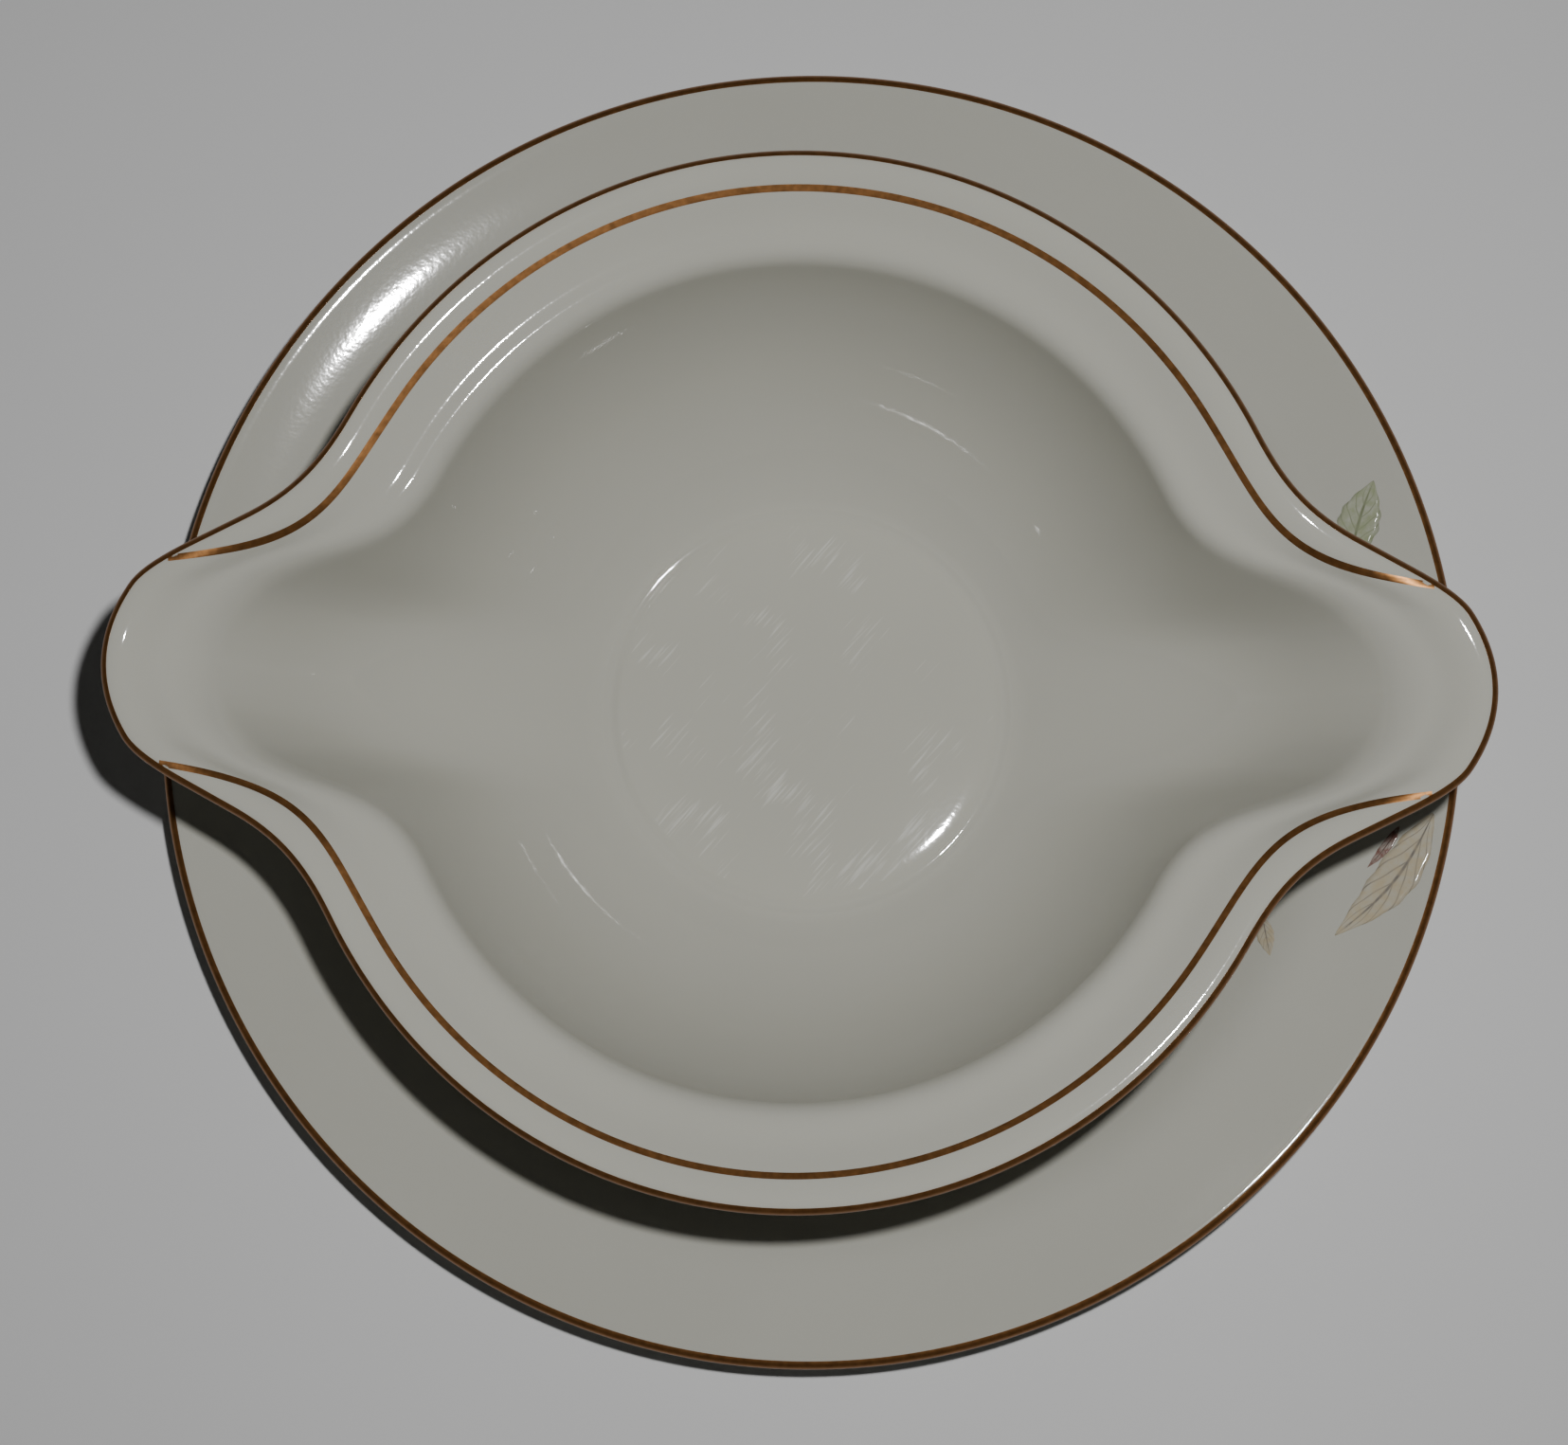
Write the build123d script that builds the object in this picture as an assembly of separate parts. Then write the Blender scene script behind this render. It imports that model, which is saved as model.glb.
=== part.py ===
from build123d import *
import os
from math import cos, sin, tan, radians, hypot, sqrt, pi

# A two-spouted porcelain gravy boat that stands in the well of its own round underplate.
# Millimetres. Z is up, the spouts point along +X and -X, and the origin is the centre of the
# plane that the underplate stands on.

# ---------------------------------------------------------------- underplate
PLATE_RADIUS = 108.0          # to the outside of the rolled edge
PLATE_EDGE_RADIUS = 1.5       # half of the thickness at the edge
PLATE_EDGE_Z = 17.6           # height of the middle of the edge
PLATE_RIM_WIDTH = 15.0        # the shallow cone inside the edge
PLATE_RIM_SLOPE = 14.0        # degrees
PLATE_SHOULDER_WIDTH = 18.0   # the steeper stretch between the rim and the well
PLATE_WELL_Z = 7.3            # top of the flat well
PLATE_THICKNESS = 3.8
SEAT_DEPTH = 0.8              # the shallow recess that locates the boat's foot
SEAT_CLEARANCE = 1.0          # all round the foot
SEAT_LIP = 1.2                # width of the slope at the side of the recess
PLATE_FOOT_INSET = 9.5        # from the edge of the well in to the ring that the plate stands on
PLATE_FOOT_WIDTH = 4.0
PLATE_TREAD_ROUND = 0.7       # rounding at the sides of the tread

# ---------------------------------------------------------------- boat, in plan
BOAT_LENGTH = 211.4           # tip of one spout to tip of the other
BOAT_WIDTH = 161.6            # across the bowl's lip
BODY_LENGTH = 158.0           # what the bowl's lip would measure without its spouts
SPOUT_WIDTH = 30.1            # across the two corners of a spout
SPOUT_CORNER_SETBACK = 6.1    # from the tip back to the corners
SPOUT_SIDE_SLOPE = 27.5       # degrees, how the spout's sides close in towards the corners
LINE_INSET = 5.8              # from the edge to the inner gold line, beside the bowl
LINE_SPOUT_SLOPE = 3.6        # degrees, the inner gold line beside the spout
BAND_INSET = 15.6             # from the edge to the shoulder where the wall drops away
CHANNEL_SETBACK = 12.7        # from the tip back to the head of the pouring channel
CHANNEL_WIDTH = 26.4          # at CHANNEL_SETBACK plus a little, where the sides are straight
CHANNEL_SIDE_SLOPE = 14.6     # degrees
CHANNEL_HEAD_BLUNTNESS = 1.15    # half-width of the head's oval over the channel's width
FLOOR_RADIUS = 34.3

# Widths over which two of those curves run smoothly into each other.
CORNER_BLEND = 3.0            # the edge at the corners of a spout
SPOUT_BLEND = 8.5             # the edge from the bowl into a spout
LINE_BLEND = 39.0             # the inner gold line from the bowl into a spout
HEAD_BLEND = 8.0              # the shoulder at the head of the channel
CHANNEL_BLEND = 12.0          # the shoulder from the bowl into the channel
SPOUT_TURN = 24.0             # degrees each side of a spout's middle where the wall changes

# ---------------------------------------------------------------- boat, in height
BOAT_HEIGHT = 68.2            # from under the foot to the top of the lip
FLOOR_HEIGHT = 13.5           # from under the foot to the inside floor
FLOOR_THICKNESS = 4.5
SHOULDER_DROP = 4.2           # from the top of the lip down to the shoulder
SPOUT_DROP = 0.8              # how much lower the spout tips are
WALL = 3.0
FOOT_RADIUS = 36.8
FOOT_WIDTH = 4.3
GROOVE_RADIUS = 0.5           # the fine ring pressed round the edge of the floor
GROOVE_DEPTH = 0.3
TREAD_ROUND = 0.6             # rounding beside the unglazed tread of the boat's foot
FOOT_WAIST = 0.3              # how far the outside of the foot draws in above the tread
FOOT_WAIST_RISE = 5.5
FOOT_FLARE = 4.6              # how far the foot flares out to run into the belly
FOOT_BITE = 0.5               # how far the foot runs into the wall above it

# The wall's section, first beside the bowl and then along the middle of a spout. Slopes are in
# degrees, and a reach is how far a curve holds on to its slope.
FOOT_SLOPE, FOOT_REACH = (22, 25), (16, 44)
WALL_SLOPE, WALL_REACH = (84, 54), (22, 24)
WALL_TOP_DROP = (3.8, 1.6)    # from the shoulder down to the top of the steep wall
WALL_TOP_SETBACK = 1.0        # from the shoulder in to the top of the steep wall
TURN_REACH = (3.0, 1.5)       # over the shoulder, leaving the wall
BAND_SLOPE, BAND_REACH = (15, 20), (2.4, 1.5)
BAND_START, BAND_RISE = 3.4, 0.3    # from the shoulder out and up to the start of the band

# ---------------------------------------------------------------- fired-on decoration
# Gold and transfer colours are films a few microns thick on the real ware. Here each is a thin
# solid let into the glaze, standing very slightly proud of it.
FILM_DEPTH = 0.2
FILM_PROUD = 0.1
LINE_WIDTH = 0.8
LINE_GAP = 0.25               # between the ends of the inner lines and the gold of the edge
EDGE_GOLD_FROM, EDGE_GOLD_TO = 25.0, 98.0   # degrees round a rolled edge, 0 at its top
LEAF_TURN = 1.5               # degrees, swings the whole spray round the underplate

# ---------------------------------------------------------------- derived values
SEAT_Z = PLATE_WELL_Z - SEAT_DEPTH
FLOOR_Z = SEAT_Z + FLOOR_HEIGHT
LIP_Z = SEAT_Z + BOAT_HEIGHT
SHOULDER_Z = LIP_Z - SHOULDER_DROP
TIP = BOAT_LENGTH / 2
CORNER_X = TIP - SPOUT_CORNER_SETBACK
CORNER_Y = SPOUT_WIDTH / 2
NOSE = WALL / 2               # the lip is rounded over its whole thickness
BASE_Z = FLOOR_Z - FLOOR_THICKNESS
BASE_RADIUS = FLOOR_RADIUS + WALL / 2    # of the flat underside inside the foot


# ---------------------------------------------------------------- plan curves of the boat
def oval(turn, half_x, half_y):
    return 1 / hypot(cos(turn) / half_x, sin(turn) / half_y)


def side_line(turn, x, y, slope):
    """Radius of a straight spout side through (x, y) that closes in at the given slope."""
    across, along = sin(radians(slope)), cos(radians(slope))
    return (x * across + y * along) / (across * abs(cos(turn)) + along * abs(sin(turn)))


def smooth_max(a, b, width):
    """The larger of two values, rounded where they are within width of each other."""
    near = max(width - abs(a - b), 0) / width
    return max(a, b) + near * near * width / 4


def smooth_min(a, b, width):
    return -smooth_max(-a, -b, width)


def edge_radius(turn):
    body = oval(turn, BODY_LENGTH / 2, BOAT_WIDTH / 2)
    front = oval(turn, TIP, CORNER_Y / sqrt(1 - (CORNER_X / TIP) ** 2))
    side = side_line(turn, CORNER_X, CORNER_Y, SPOUT_SIDE_SLOPE)
    return smooth_max(body, smooth_min(front, side, CORNER_BLEND), SPOUT_BLEND)


def line_radius(turn):
    body = oval(turn, BODY_LENGTH / 2 - LINE_INSET, BOAT_WIDTH / 2 - LINE_INSET)
    side = side_line(turn, CORNER_X, CORNER_Y, LINE_SPOUT_SLOPE)
    return smooth_max(body, side, LINE_BLEND)


def shoulder_radius(turn):
    body = oval(turn, BODY_LENGTH / 2 - BAND_INSET, BOAT_WIDTH / 2 - BAND_INSET)
    head = TIP - CHANNEL_SETBACK
    front = oval(turn, head, CHANNEL_WIDTH * CHANNEL_HEAD_BLUNTNESS)
    side = side_line(turn, head, CHANNEL_WIDTH / 2, CHANNEL_SIDE_SLOPE)
    return smooth_max(body, smooth_min(front, side, HEAD_BLEND), CHANNEL_BLEND)


def spout_share(turn):
    """1 along the middle of a spout, falling smoothly to 0 on the plain side of the bowl."""
    off = min(abs(sin(turn)) / sin(radians(SPOUT_TURN)), 1)
    return (1 - off * off) ** 2


def outward(turn):
    return Vector(cos(turn), sin(turn), 0)


def lathe_point(turn, place):
    """A point at a turn round the Z axis, from its place (radius, height)."""
    return outward(turn) * place[0] + Vector(0, 0, place[1])


def edge_point(turn, inset):
    """A point of the boat's outline, moved in square to the outline."""
    step = 1e-4
    ahead = outward(turn + step) * edge_radius(turn + step)
    behind = outward(turn - step) * edge_radius(turn - step)
    along = (ahead - behind).normalized()
    square = Vector(along.Y, -along.X, 0)
    return (ahead + behind) / 2 - square * inset, square


# ---------------------------------------------------------------- the boat's inside surface
def bezier(a, b, c, d, t):
    s = 1 - t
    return a * s ** 3 + b * (3 * s * s * t) + c * (3 * s * t * t) + d * t ** 3


def between(values, share):
    """From a pair's first value, beside the bowl, to its second, along a spout's middle."""
    return values[0] + (values[1] - values[0]) * share


def heading(flat, slope):
    """A unit step along a level direction that climbs at a slope in degrees."""
    return flat * cos(radians(slope)) + Vector(0, 0, sin(radians(slope)))


def inside(turn, s):
    """The inside surface: s runs 0-1 up the wall, 1-2 over the shoulder, 2-3 out to the lip."""
    share = spout_share(turn)
    ray, up = outward(turn), Vector(0, 0, 1)
    shoulder = shoulder_radius(turn)
    wall_top = (ray * (shoulder - WALL_TOP_SETBACK)
                + up * (SHOULDER_Z - between(WALL_TOP_DROP, share)))
    wall_end = heading(ray, between(WALL_SLOPE, share))
    if s <= 1:
        foot = ray * FLOOR_RADIUS + up * FLOOR_Z
        foot_start = heading(ray, between(FOOT_SLOPE, share))
        return bezier(foot, foot + foot_start * between(FOOT_REACH, share),
                      wall_top - wall_end * between(WALL_REACH, share), wall_top, s)
    band = ray * (shoulder + BAND_START) + up * (SHOULDER_Z + BAND_RISE)
    band_start = heading(ray, between(BAND_SLOPE, share))
    if s <= 2:
        return bezier(wall_top, wall_top + wall_end * between(TURN_REACH, share),
                      band - band_start * between(BAND_REACH, share), band, s - 1)
    lip, square = edge_point(turn, NOSE)
    lip += up * (LIP_Z - SPOUT_DROP * share)
    reach = (lip - band).length / 3
    return bezier(band, band + band_start * reach, lip - square * reach, lip, s - 2)


def frame_at(turn, s):
    """Point, unit normal (towards the inside of the boat) and unit step towards the lip."""
    step = 1e-4
    point = inside(turn, s)
    climb = (inside(turn, min(s + step, 3)) - inside(turn, max(s - step, 0))).normalized()
    round_ = (inside(turn + step, s) - inside(turn - step, s)).normalized()
    normal = climb.cross(round_).normalized()
    if normal.Z < 0:
        normal = -normal
    return point, normal, climb


def skin_point(turn, s, height):
    """A point at a height over the inside surface, or under it where height is negative."""
    point, normal, _ = frame_at(turn, s)
    return point + normal * height


def nose_point(turn, angle, radius):
    """A point of the rounded lip: angle 0 is its top, 90 its outermost line, 180 its underside."""
    point, normal, climb = frame_at(turn, 3)
    a = radians(angle)
    square = (climb - normal * climb.dot(normal)).normalized()
    return point - normal * NOSE + (normal * cos(a) + square * sin(a)) * radius


# ---------------------------------------------------------------- lofted shells
# The boat is the same in all four quarters, so each skin is lofted over the quarter from the tip
# of the +X spout to the middle of the +Y side, and mirrored. The stations round the quarter are
# closer together at the spout, where the outline turns quickly.
STATIONS = 26
CROWDING = 0.36
KNOTS = [i / STATIONS for i in range(STATIONS + 1)]
TURNS = [pi / 2 * knot - CROWDING * sin(pi * knot) for knot in KNOTS]


def ring(point_at):
    """A quarter of a closed curve round the boat, square to both planes of symmetry."""
    points = [point_at(turn) for turn in TURNS]
    square = [Vector(0, 1, 0), Vector(-1, 0, 0)]
    return Wire([Edge.make_spline(points, tangents=square, parameters=KNOTS)])


def all_quarters(shapes):
    half = shapes + [shape.mirror(Plane.XZ) for shape in shapes]
    return half + [shape.mirror(Plane.YZ) for shape in half]


def skin(rings):
    """A smooth skin through rings in order, lofted three spans at a time."""
    faces = []
    for first in range(0, len(rings) - 1, 3):
        faces += Shell.make_loft(rings[first:first + 4]).faces()
    return faces


def closed_solid(quarter_faces, end_faces=()):
    return Solid(Shell(all_quarters(quarter_faces) + list(end_faces)))


def spans(first, last, count):
    return [first + (last - first) * i / count for i in range(1, count + 1)]


def make_bowl():
    """The cast shell: up the inside, round the lip, and down the outside, one wall away."""
    inner = spans(0, 1, 9) + spans(1, 2, 3) + spans(2, 3, 3)
    outer = inner[-2::-1]
    rings = [ring(lambda turn, s=s: inside(turn, s)) for s in [0] + inner]
    rings += [ring(lambda turn, a=a: nose_point(turn, a, NOSE)) for a in spans(0, 180, 6)]
    rings += [ring(lambda turn, s=s: skin_point(turn, s, -WALL)) for s in outer]
    rings.append(ring(lambda turn: lathe_point(turn, (BASE_RADIUS, BASE_Z))))
    floor_and_base = [Face(Wire(all_quarters(rings[end].edges()))) for end in (0, -1)]
    return closed_solid(skin(rings), floor_and_base)


def upright(points):
    """Points of a lathe profile, given as (radius, height)."""
    return [(r, 0, z) for r, z in points]


def turned(*edges):
    return revolve(Face(Wire(list(edges))), Axis.Z)


def solve(function, low, high):
    """Where a function that goes from below zero at low to above it at high crosses zero."""
    for _ in range(40):
        middle = (low + high) / 2
        low, high = (middle, high) if function(middle) < 0 else (low, middle)
    return (low + high) / 2


def underside(radius):
    """Height of the bowl's underside at a radius, measured on the side of the bowl."""
    if radius <= BASE_RADIUS:
        return BASE_Z
    side = pi / 2
    s = solve(lambda s: skin_point(side, s, -WALL).Y - radius, 0, 1)
    return skin_point(side, s, -WALL).Z


def make_foot():
    """The foot ring, flaring into the belly above it."""
    inner = FOOT_RADIUS - FOOT_WIDTH
    top = underside(inner) + 2 * FOOT_BITE
    flare = FOOT_RADIUS + FOOT_FLARE
    belly = (flare, underside(flare) + FOOT_BITE)
    outside = Spline(upright([(FOOT_RADIUS, SEAT_Z + TREAD_ROUND),
                              (FOOT_RADIUS - FOOT_WAIST, SEAT_Z + FOOT_WAIST_RISE),
                              (FOOT_RADIUS + FOOT_FLARE / 5, belly[1] - FOOT_FLARE), belly]))
    rest = Polyline(upright([belly, (inner, top), (inner + FOOT_WAIST, SEAT_Z + TREAD_ROUND),
                             (inner + FOOT_WAIST + TREAD_ROUND, SEAT_Z),
                             (FOOT_RADIUS - TREAD_ROUND, SEAT_Z),
                             (FOOT_RADIUS, SEAT_Z + TREAD_ROUND)]))
    return turned(outside, *rest.edges())


def make_floor_groove():
    wheel = Pos(FLOOR_RADIUS, 0, FLOOR_Z + GROOVE_RADIUS - GROOVE_DEPTH) * Rot(90, 0, 0)
    return revolve(wheel * Circle(GROOVE_RADIUS), Axis.Z)


def make_edge_gold(mark, nose):
    """A thin hoop over an edge rounded to a nose radius, where mark(turn, angle, radius) gives
    points round the edge: its outer skin, its inner skin, and its two narrow sides."""
    angles = [EDGE_GOLD_FROM] + spans(EDGE_GOLD_FROM, EDGE_GOLD_TO, 3)
    outer, inner = [[ring(lambda turn, a=a: mark(turn, a, radius)) for a in angles]
                    for radius in (nose + FILM_PROUD, nose - FILM_DEPTH)]
    sides = [skin([outer[end], inner[end]]) for end in (0, -1)]
    return closed_solid(skin(outer) + skin(inner) + sides[0] + sides[1])


# ---------------------------------------------------------------- the inner gold lines
def line_frame(turn):
    """Point of the inner gold line on the lip, and the lip's normal there."""
    radius = line_radius(turn)
    s = solve(lambda s: hypot(inside(turn, s).X, inside(turn, s).Y) - radius, 2, 3)
    point, normal, _ = frame_at(turn, s)
    return point, normal


def line_room(turn):
    """Room beside the line before it runs into the gold of the edge."""
    across = edge_point(turn, 0)[1].dot(outward(turn))
    return (edge_radius(turn) - line_radius(turn)) * across - NOSE - LINE_WIDTH / 2 - LINE_GAP


def make_lip_line():
    """The line on the +Y side, from the corner of one spout to the corner of the other."""
    start = solve(line_room, radians(4), radians(20))
    frames = [line_frame(turn) for turn in [start] + spans(start, pi - start, 60)]
    corners = []
    for i, (point, normal) in enumerate(frames):
        before, after = frames[max(i - 1, 0)][0], frames[min(i + 1, len(frames) - 1)][0]
        across = normal.cross(after - before).normalized() * (LINE_WIDTH / 2)
        over, under = normal * FILM_PROUD, normal * -FILM_DEPTH
        corners.append((point - across + over, point + across + over,
                        point + across + under, point - across + under))
    rails = [Edge.make_spline([section[k] for section in corners]) for k in range(4)]
    faces = [Face.make_surface_from_curves(rails[k - 1], rails[k]) for k in range(4)]
    ends = [Face(Wire.make_polygon(section)) for section in (corners[0], corners[-1])]
    return Solid(Shell(faces + ends))


# ---------------------------------------------------------------- underplate
RIM_IN = PLATE_RADIUS - PLATE_EDGE_RADIUS - PLATE_RIM_WIDTH     # inside of the shallow cone
WELL_RADIUS = RIM_IN - PLATE_SHOULDER_WIDTH
EDGE_CENTRE = (PLATE_RADIUS - PLATE_EDGE_RADIUS, PLATE_EDGE_Z)


def edge_mark(angle, radius):
    """A point of the rolled edge's section: angle 0 is its top and 90 its outermost line."""
    return (EDGE_CENTRE[0] + radius * sin(radians(angle)),
            EDGE_CENTRE[1] + radius * cos(radians(angle)))


RIM_TOP = edge_mark(-PLATE_RIM_SLOPE, PLATE_EDGE_RADIUS)
RIM_IN_Z = RIM_TOP[1] - (RIM_TOP[0] - RIM_IN) * tan(radians(PLATE_RIM_SLOPE))
UNDER_Z = PLATE_WELL_Z - PLATE_THICKNESS
SWEEP = PLATE_SHOULDER_WIDTH * 0.42      # how far the shoulder's curve holds on to its slopes


def rim_curve(lift):
    """The top of the plate from the well out to the rolled edge, lifted by a small amount."""
    slope = tan(radians(PLATE_RIM_SLOPE))
    start, end = (WELL_RADIUS, PLATE_WELL_Z + lift), (RIM_IN, RIM_IN_Z + lift)
    sweep_up = Bezier(*upright([start, (start[0] + SWEEP, start[1]),
                                (end[0] - SWEEP, end[1] - SWEEP * slope), end]))
    return [sweep_up, Line(*upright([end, (RIM_TOP[0], RIM_TOP[1] + lift)]))]


def make_plate():
    seat = FOOT_RADIUS + SEAT_CLEARANCE
    bottom = edge_mark(180 - PLATE_RIM_SLOPE, PLATE_EDGE_RADIUS)
    under_in = (RIM_IN + 1.0, RIM_IN_Z - PLATE_THICKNESS)
    slope = (bottom[1] - under_in[1]) / (bottom[0] - under_in[0])
    under_well = (WELL_RADIUS + 1.5, UNDER_Z)
    foot_out = WELL_RADIUS - PLATE_FOOT_INSET
    foot_in = foot_out - PLATE_FOOT_WIDTH
    tread, spread = PLATE_TREAD_ROUND, 1.0       # the foot ring is wider where it meets the plate
    well = Polyline(upright([(0, SEAT_Z), (seat, SEAT_Z), (seat + SEAT_LIP, PLATE_WELL_Z),
                             (WELL_RADIUS, PLATE_WELL_Z)]))
    nose = ThreePointArc(*upright([RIM_TOP, edge_mark(90, PLATE_EDGE_RADIUS), bottom]))
    under = Bezier(*upright([under_in, (under_in[0] - SWEEP, under_in[1] - SWEEP * slope),
                             (under_well[0] + SWEEP, UNDER_Z), under_well]))
    foot = Polyline(upright([under_well, (foot_out + spread, UNDER_Z), (foot_out, tread),
                             (foot_out - tread, 0), (foot_in + tread, 0), (foot_in, tread),
                             (foot_in - spread, UNDER_Z), (0, UNDER_Z), (0, SEAT_Z)]))
    return turned(*well.edges(), *rim_curve(0), nose, Line(*upright([bottom, under_in])), under,
                  *foot.edges())


# ---------------------------------------------------------------- leaf spray on the underplate
def rim_place(inset, turn):
    """Plan position in from the plate's outer edge, turn in degrees from +X."""
    return outward(radians(turn + LEAF_TURN)) * (PLATE_RADIUS - inset)


def leaf(base, tip, left, right):
    """A pointed leaf from base to tip, each given as (inset, turn), with its two half-widths."""
    start, end = rim_place(*base), rim_place(*tip)
    along = end - start
    square = Vector(-along.Y, along.X, 0).normalized()
    belly = start + along * 0.45                 # widest a little nearer the base
    outline = [ThreePointArc(start, belly + square * left, end),
               ThreePointArc(end, belly - square * right, start)]
    return extrude(Face(Wire(outline)), amount=LIP_Z, dir=(0, 0, 1))


def make_transfer(*leaves):
    """Leaves let into the top of the underplate's rim."""
    lower, upper = rim_curve(-FILM_DEPTH), rim_curve(FILM_PROUD)
    ends = [Line(upper[1] @ 1, lower[1] @ 1), Line(lower[0] @ 0, upper[0] @ 0)]
    film = turned(*upper, ends[0], *lower, ends[1])
    return Compound([solid for outline in leaves for solid in (film & outline).solids()])


def main():
    os.makedirs("parts", exist_ok=True)
    bud = make_transfer(leaf((8.4, -11.0), (12.0, -15.7), 1.0, 1.0))
    transfers = {
        "leaf_transfer_green": make_transfer(leaf((14.0, 15.8), (6.2, 22.2), 3.3, 3.3)),
        "leaf_transfer_ochre": make_transfer(leaf((3.4, -9.3), (13.5, -23.2), 4.4, 5.4),
                                             leaf((25.2, -24.0), (21.4, -27.8), 1.3, 1.5)) - bud,
        "leaf_transfer_russet": bud,
    }
    plate_gold = make_edge_gold(lambda turn, a, r: lathe_point(turn, edge_mark(a, r)),
                                PLATE_EDGE_RADIUS)
    plate = make_plate() - plate_gold
    for transfer in transfers.values():
        plate -= transfer

    edge_gold = make_edge_gold(nose_point, NOSE)
    line_back = make_lip_line()
    line_front = mirror(line_back, Plane.XZ)
    boat = make_bowl() + make_foot() - make_floor_groove() - edge_gold - line_back - line_front

    nodes = {
        "sauce_boat": boat,
        "boat_edge_gilding": edge_gold,
        "lip_line_gilding_back": line_back,
        "lip_line_gilding_front": line_front,
        "underplate": plate,
        "underplate_edge_gilding": plate_gold,
        **transfers,
    }
    for name, shape in nodes.items():
        export_step(shape, f"parts/{name}.step")


if __name__ == "__main__":
    main()
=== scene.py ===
from math import cos, pi, radians, sin, tan

import bmesh
import bpy
import numpy as np
from mathutils import Matrix, Vector
from mathutils.bvhtree import BVHTree


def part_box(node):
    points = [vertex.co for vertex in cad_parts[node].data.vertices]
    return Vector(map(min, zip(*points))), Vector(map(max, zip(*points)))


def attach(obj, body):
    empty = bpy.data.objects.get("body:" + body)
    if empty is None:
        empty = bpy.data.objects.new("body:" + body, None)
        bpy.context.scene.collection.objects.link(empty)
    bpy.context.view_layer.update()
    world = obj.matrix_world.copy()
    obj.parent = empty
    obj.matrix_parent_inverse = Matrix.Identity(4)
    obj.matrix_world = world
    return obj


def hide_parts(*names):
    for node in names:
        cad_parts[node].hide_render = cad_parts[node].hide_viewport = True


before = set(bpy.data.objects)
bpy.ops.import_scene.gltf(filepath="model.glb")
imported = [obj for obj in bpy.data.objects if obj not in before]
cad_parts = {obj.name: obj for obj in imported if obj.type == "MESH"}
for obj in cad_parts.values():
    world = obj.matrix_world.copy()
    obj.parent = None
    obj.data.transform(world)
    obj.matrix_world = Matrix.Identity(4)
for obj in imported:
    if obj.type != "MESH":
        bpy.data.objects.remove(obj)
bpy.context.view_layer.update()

bl_info = {
    "name": "Gravy boat with underplate",
    "version": (1, 0, 0),
    "blender": (4, 5, 0),
    "location": "View3D > Sidebar > Gravy boat",
    "description": "Builds a two-spouted porcelain gravy boat, its underplate and their gilding",
    "category": "Object",
}

MM = 0.001
BOAT_LOW, BOAT_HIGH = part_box("sauce_boat")
PLATE_LOW, PLATE_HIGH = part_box("underplate")


# ---------------------------------------------------------------- settings a user would change
def length(name, description, default):
    return bpy.props.FloatProperty(name=name, description=description, default=default,
                                   subtype="DISTANCE", unit="LENGTH", precision=5)


def degrees(name, description, default):
    return bpy.props.FloatProperty(name=name, description=description, default=radians(default),
                                   subtype="ANGLE", unit="ROTATION")


def paint(name, description, default):
    return bpy.props.StringProperty(name=name, description=description, default=default)


class BoatSettings(bpy.types.PropertyGroup):
    """Sizes of the sauce boat."""
    spout_width: length("Spout width", "Across the two corners of a spout", 30.1 * MM)
    body_length: length("Bowl length", "The lip along the spouts, measured without them",
                        158.0 * MM)
    line_inset: length("Inner line inset", "From the edge in to the inner gold line", 5.8 * MM)
    band_inset: length("Band inset", "From the edge in to where the wall drops away", 15.6 * MM)
    channel_width: length("Channel width", "Width of the pouring channel", 26.4 * MM)
    floor_radius: length("Floor radius", "Radius of the flat floor inside", 34.3 * MM)
    floor_height: length("Floor height", "From under the foot to the inside floor", 13.5 * MM)
    wall: length("Wall", "Thickness of the porcelain", 3.0 * MM)
    foot_radius: length("Foot radius", "Outside of the boat's foot ring", 36.8 * MM)


class PlateSettings(bpy.types.PropertyGroup):
    """Sizes of the underplate."""
    rim_width: length("Rim width", "The shallow cone inside the edge", 15.0 * MM)
    rim_slope: degrees("Rim slope", "How steeply the rim climbs", 14.0)
    shoulder_width: length("Shoulder width", "The steeper stretch inside the rim", 18.0 * MM)
    well_height: length("Well height", "Top of the flat well", 7.3 * MM)
    foot_radius: length("Foot radius", "Outside of the underplate's foot ring", 64.0 * MM)


class GiltSettings(bpy.types.PropertyGroup):
    """Sizes of the hand-banded gold."""
    line_width: length("Line width", "Width of the inner gold lines", 1.0 * MM)
    edge_from: degrees("Edge from", "Where the boat's edge gold starts, from the lip's top", 18)
    plate_edge_from: degrees("Plate edge from", "Where the underplate's edge gold starts", 4)
    edge_to: degrees("Edge to", "Where the edge gold stops, 90 being the outermost line", 98)


class FinishSettings(bpy.types.PropertyGroup):
    """Colours of the glaze and of the fired-on decoration."""
    glaze: paint("Glaze", "Ivory-white porcelain under clear glaze", "#B7B6AC")
    gold: paint("Gold", "Burnished fired-on gold", "#96683C")
    green: paint("Green", "Pale green leaf", "#9CA384")
    green_vein: paint("Green vein", "Midrib and margin of the green leaf", "#6E7557")
    ochre: paint("Ochre", "Pale ochre leaves", "#BDB094")
    ochre_vein: paint("Ochre vein", "Blue-grey veins of the ochre leaves", "#5F5A59")
    russet: paint("Russet", "Red-brown bud", "#6E2A1C")
    russet_vein: paint("Russet vein", "Dark strokes on the bud", "#3E241C")


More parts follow.
